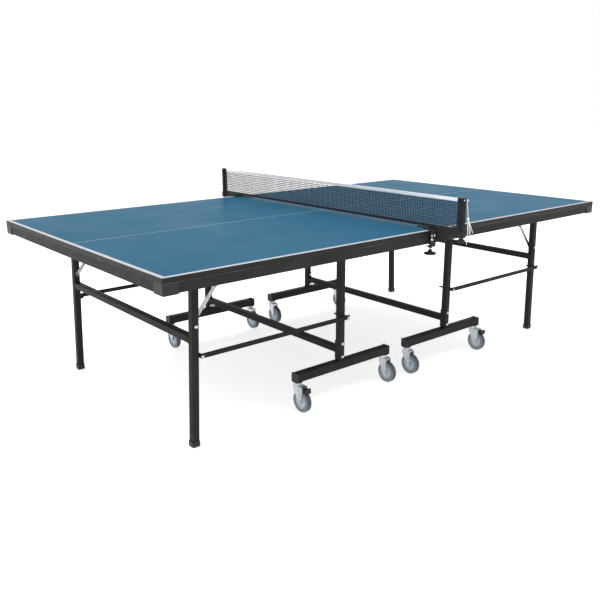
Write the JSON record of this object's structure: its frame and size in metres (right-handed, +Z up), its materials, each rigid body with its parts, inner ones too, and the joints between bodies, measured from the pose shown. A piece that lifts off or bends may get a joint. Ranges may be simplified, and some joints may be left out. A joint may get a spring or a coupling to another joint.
{
  "type": "ping pong table",
  "caption": "Folding table tennis table: two tops that tip up on roll-apart wheeled trolleys, with a clamp-on net.",
  "frame": {"origin": "on the floor under the middle of the table", "axes": "+X along the table from the left half to the right half, +Y from the front side to the rear side, +Z up"},
  "size_m": [2.74, 1.8467, 0.914],
  "materials": {
    "playing_surface": "satin blue paint on chipboard, white lines",
    "black_steel": "satin black powder coat",
    "zinc_steel": "zinc plated",
    "black_plastic": "moulded, matte",
    "caster_wheel": "light grey hub in a darker grey tyre",
    "net_fabric": "dark blue mesh, white top tape, black bottom band",
    "white_cord": "twisted white cord"
  },
  "bodies": {
    "left_trolley": {"left_foot_beams": "black_steel", "left_beam_end_caps": "black_plastic", "left_uprights": "black_steel", "left_trolley_crossbar": "black_steel", "left_trolley_bolts": "zinc_steel"},
    "left_top": {"left_tabletop": "playing_surface", "left_apron_frame": "black_steel", "left_corner_caps": "black_plastic", "left_hinge_brackets": "black_steel", "net_clamp_frames": "black_steel"},
    "left_outer_legs": {"left_outer_leg_frame": "black_steel", "left_leg_feet": "black_plastic"},
    "left_links": {"left_link_bars": "black_steel"},
    "left_lower_brace_set": {"left_lower_braces": "zinc_steel"},
    "left_upper_brace_set": {"left_upper_braces": "zinc_steel"},
    "left_front_inner_fork": {"left_front_inner_caster_fork": "zinc_steel"},
    "left_front_inner_wheel": {"left_front_inner_caster_wheel": "caster_wheel"},
    "left_front_outer_fork": {"left_front_outer_caster_fork": "zinc_steel"},
    "left_front_outer_wheel": {"left_front_outer_caster_wheel": "caster_wheel"},
    "left_front_outer_brake": {"left_front_outer_brake_pedal": "black_plastic"},
    "left_rear_inner_fork": {"left_rear_inner_caster_fork": "zinc_steel"},
    "left_rear_inner_wheel": {"left_rear_inner_caster_wheel": "caster_wheel"},
    "left_rear_outer_fork": {"left_rear_outer_caster_fork": "zinc_steel"},
    "left_rear_outer_wheel": {"left_rear_outer_caster_wheel": "caster_wheel"},
    "left_rear_outer_brake": {"left_rear_outer_brake_pedal": "black_plastic"},
    "right_trolley": {"right_foot_beams": "black_steel", "right_beam_end_caps": "black_plastic", "right_uprights": "black_steel", "right_trolley_crossbar": "black_steel", "right_trolley_bolts": "zinc_steel"},
    "right_top": {"right_tabletop": "playing_surface", "right_apron_frame": "black_steel", "right_corner_caps": "black_plastic", "right_hinge_brackets": "black_steel"},
    "right_outer_legs": {"right_outer_leg_frame": "black_steel", "right_leg_feet": "black_plastic"},
    "right_links": {"right_link_bars": "black_steel"},
    "right_lower_brace_set": {"right_lower_braces": "zinc_steel"},
    "right_upper_brace_set": {"right_upper_braces": "zinc_steel"},
    "right_front_inner_fork": {"right_front_inner_caster_fork": "zinc_steel"},
    "right_front_inner_wheel": {"right_front_inner_caster_wheel": "caster_wheel"},
    "right_front_outer_fork": {"right_front_outer_caster_fork": "zinc_steel"},
    "right_front_outer_wheel": {"right_front_outer_caster_wheel": "caster_wheel"},
    "right_front_outer_brake": {"right_front_outer_brake_pedal": "black_plastic"},
    "right_rear_inner_fork": {"right_rear_inner_caster_fork": "zinc_steel"},
    "right_rear_inner_wheel": {"right_rear_inner_caster_wheel": "caster_wheel"},
    "right_rear_outer_fork": {"right_rear_outer_caster_fork": "zinc_steel"},
    "right_rear_outer_wheel": {"right_rear_outer_caster_wheel": "caster_wheel"},
    "right_rear_outer_brake": {"right_rear_outer_brake_pedal": "black_plastic"},
    "net_set": {"net": "net_fabric", "net_posts": "black_steel", "net_brackets": "black_steel", "net_cord": "white_cord", "net_cord_tail": "white_cord"},
    "front_post_knob_body": {"front_post_knob": "black_plastic"},
    "front_clamp_pad_body": {"front_clamp_pad": "black_plastic"},
    "front_clamp_screw_body": {"front_clamp_screw": "black_steel"},
    "rear_post_knob_body": {"rear_post_knob": "black_plastic"},
    "rear_clamp_pad_body": {"rear_clamp_pad": "black_plastic"},
    "rear_clamp_screw_body": {"rear_clamp_screw": "black_steel"}
  },
  "joints": [
    {"name": "trolley_roll_apart", "type": "slide", "parent": "left_trolley", "child": "right_trolley", "axis": [1, 0, 0], "range_m": [0, 0.6]},
    {"name": "left_top_tilt", "type": "hinge", "parent": "left_trolley", "child": "left_top", "pos_m": [-0.335, 0, 0.725], "axis": [0, 1, 0], "range_deg": [0, 90]},
    {"name": "left_leg_fold", "type": "hinge", "parent": "left_top", "child": "left_outer_legs", "pos_m": [-1.101, 0, 0.725], "axis": [0, 1, 0], "range_deg": [-90, 0]},
    {"name": "left_link_swing", "type": "hinge", "parent": "left_trolley", "child": "left_links", "pos_m": [-0.35, 0, 0.376], "axis": [0, 1, 0], "range_deg": [0, 90]},
    {"name": "left_lower_brace_fold", "type": "hinge", "parent": "left_outer_legs", "child": "left_lower_brace_set", "pos_m": [-1.132, 0, 0.496], "axis": [0, 1, 0], "range_deg": [-52.04, 0]},
    {"name": "left_upper_brace_fold", "type": "hinge", "parent": "left_top", "child": "left_upper_brace_set", "pos_m": [-0.95, 0, 0.715], "axis": [0, 1, 0], "range_deg": [0, 18.17]},
    {"name": "left_front_inner_swivel", "type": "hinge", "parent": "left_trolley", "child": "left_front_inner_fork", "pos_m": [-0.084, -0.549, 0.12], "axis": [0, 0, 1], "continuous": true},
    {"name": "left_front_inner_wheel_spin", "type": "hinge", "parent": "left_front_inner_fork", "child": "left_front_inner_wheel", "pos_m": [-0.084, -0.577, 0.05], "axis": [1, 0, 0], "continuous": true},
    {"name": "left_front_outer_swivel", "type": "hinge", "parent": "left_trolley", "child": "left_front_outer_fork", "pos_m": [-0.62, -0.549, 0.12], "axis": [0, 0, 1], "continuous": true},
    {"name": "left_front_outer_wheel_spin", "type": "hinge", "parent": "left_front_outer_fork", "child": "left_front_outer_wheel", "pos_m": [-0.62, -0.577, 0.05], "axis": [1, 0, 0], "continuous": true},
    {"name": "left_front_outer_brake_press", "type": "hinge", "parent": "left_front_outer_fork", "child": "left_front_outer_brake", "pos_m": [-0.62, -0.587, 0.109], "axis": [1, 0, 0], "range_deg": [0, 5]},
    {"name": "left_rear_inner_swivel", "type": "hinge", "parent": "left_trolley", "child": "left_rear_inner_fork", "pos_m": [-0.084, 0.549, 0.12], "axis": [0, 0, 1], "continuous": true},
    {"name": "left_rear_inner_wheel_spin", "type": "hinge", "parent": "left_rear_inner_fork", "child": "left_rear_inner_wheel", "pos_m": [-0.084, 0.521, 0.05], "axis": [1, 0, 0], "continuous": true},
    {"name": "left_rear_outer_swivel", "type": "hinge", "parent": "left_trolley", "child": "left_rear_outer_fork", "pos_m": [-0.62, 0.549, 0.12], "axis": [0, 0, 1], "continuous": true},
    {"name": "left_rear_outer_wheel_spin", "type": "hinge", "parent": "left_rear_outer_fork", "child": "left_rear_outer_wheel", "pos_m": [-0.62, 0.521, 0.05], "axis": [1, 0, 0], "continuous": true},
    {"name": "left_rear_outer_brake_press", "type": "hinge", "parent": "left_rear_outer_fork", "child": "left_rear_outer_brake", "pos_m": [-0.62, 0.511, 0.109], "axis": [1, 0, 0], "range_deg": [0, 5]},
    {"name": "right_top_tilt", "type": "hinge", "parent": "right_trolley", "child": "right_top", "pos_m": [0.335, 0, 0.725], "axis": [0, -1, 0], "range_deg": [0, 90]},
    {"name": "right_leg_fold", "type": "hinge", "parent": "right_top", "child": "right_outer_legs", "pos_m": [1.101, 0, 0.725], "axis": [0, -1, 0], "range_deg": [-90, 0]},
    {"name": "right_link_swing", "type": "hinge", "parent": "right_trolley", "child": "right_links", "pos_m": [0.394, 0, 0.376], "axis": [0, -1, 0], "range_deg": [0, 90]},
    {"name": "right_lower_brace_fold", "type": "hinge", "parent": "right_outer_legs", "child": "right_lower_brace_set", "pos_m": [1.132, 0, 0.496], "axis": [0, -1, 0], "range_deg": [-52.04, 0]},
    {"name": "right_upper_brace_fold", "type": "hinge", "parent": "right_top", "child": "right_upper_brace_set", "pos_m": [0.95, 0, 0.715], "axis": [0, -1, 0], "range_deg": [0, 18.17]},
    {"name": "right_front_inner_swivel", "type": "hinge", "parent": "right_trolley", "child": "right_front_inner_fork", "pos_m": [0.084, -0.549, 0.12], "axis": [0, 0, 1], "continuous": true},
    {"name": "right_front_inner_wheel_spin", "type": "hinge", "parent": "right_front_inner_fork", "child": "right_front_inner_wheel", "pos_m": [0.084, -0.577, 0.05], "axis": [1, 0, 0], "continuous": true},
    {"name": "right_front_outer_swivel", "type": "hinge", "parent": "right_trolley", "child": "right_front_outer_fork", "pos_m": [0.62, -0.549, 0.12], "axis": [0, 0, 1], "continuous": true},
    {"name": "right_front_outer_wheel_spin", "type": "hinge", "parent": "right_front_outer_fork", "child": "right_front_outer_wheel", "pos_m": [0.62, -0.577, 0.05], "axis": [1, 0, 0], "continuous": true},
    {"name": "right_front_outer_brake_press", "type": "hinge", "parent": "right_front_outer_fork", "child": "right_front_outer_brake", "pos_m": [0.62, -0.587, 0.109], "axis": [1, 0, 0], "range_deg": [0, 5]},
    {"name": "right_rear_inner_swivel", "type": "hinge", "parent": "right_trolley", "child": "right_rear_inner_fork", "pos_m": [0.084, 0.549, 0.12], "axis": [0, 0, 1], "continuous": true},
    {"name": "right_rear_inner_wheel_spin", "type": "hinge", "parent": "right_rear_inner_fork", "child": "right_rear_inner_wheel", "pos_m": [0.084, 0.521, 0.05], "axis": [1, 0, 0], "continuous": true},
    {"name": "right_rear_outer_swivel", "type": "hinge", "parent": "right_trolley", "child": "right_rear_outer_fork", "pos_m": [0.62, 0.549, 0.12], "axis": [0, 0, 1], "continuous": true},
    {"name": "right_rear_outer_wheel_spin", "type": "hinge", "parent": "right_rear_outer_fork", "child": "right_rear_outer_wheel", "pos_m": [0.62, 0.521, 0.05], "axis": [1, 0, 0], "continuous": true},
    {"name": "right_rear_outer_brake_press", "type": "hinge", "parent": "right_rear_outer_fork", "child": "right_rear_outer_brake", "pos_m": [0.62, 0.511, 0.109], "axis": [1, 0, 0], "range_deg": [0, 5]},
    {"name": "net_set_lift", "type": "slide", "parent": "left_trolley", "child": "net_set", "axis": [0, 0, 1], "range_m": [0, 0.25]},
    {"name": "front_post_knob_turn", "type": "hinge", "parent": "net_set", "child": "front_post_knob_body", "pos_m": [0, -0.905, 0.73], "axis": [0, 0, 1], "range_deg": [0, 360]},
    {"name": "front_clamp_open", "type": "slide", "parent": "left_top", "child": "front_clamp_pad_body", "axis": [0, 0, -1], "range_m": [0, 0.006]},
    {"name": "front_clamp_screw_turn", "type": "hinge", "parent": "front_clamp_pad_body", "child": "front_clamp_screw_body", "pos_m": [-0.023, -0.757, 0.66], "axis": [0, 0, 1], "range_deg": [0, 1080]},
    {"name": "rear_post_knob_turn", "type": "hinge", "parent": "net_set", "child": "rear_post_knob_body", "pos_m": [0, 0.905, 0.73], "axis": [0, 0, 1], "range_deg": [0, 360]},
    {"name": "rear_clamp_open", "type": "slide", "parent": "left_top", "child": "rear_clamp_pad_body", "axis": [0, 0, -1], "range_m": [0, 0.006]},
    {"name": "rear_clamp_screw_turn", "type": "hinge", "parent": "rear_clamp_pad_body", "child": "rear_clamp_screw_body", "pos_m": [-0.023, 0.757, 0.66], "axis": [0, 0, 1], "range_deg": [0, 1080]}
  ],
  "couplings": [
    {"joint": "left_leg_fold", "follows": "left_top_tilt", "ratio": -1},
    {"joint": "left_link_swing", "follows": "left_top_tilt", "ratio": 1},
    {"joint": "left_lower_brace_fold", "follows": "left_top_tilt", "ratio": -0.5782},
    {"joint": "left_upper_brace_fold", "follows": "left_top_tilt", "ratio": 0.2019},
    {"joint": "right_leg_fold", "follows": "right_top_tilt", "ratio": -1},
    {"joint": "right_link_swing", "follows": "right_top_tilt", "ratio": 1},
    {"joint": "right_lower_brace_fold", "follows": "right_top_tilt", "ratio": -0.5782},
    {"joint": "right_upper_brace_fold", "follows": "right_top_tilt", "ratio": 0.2019},
    {"joint": "front_clamp_screw_turn", "follows": "front_clamp_open", "rad_per_m": 3141.6},
    {"joint": "rear_clamp_screw_turn", "follows": "rear_clamp_open", "rad_per_m": 3141.6}
  ]
}
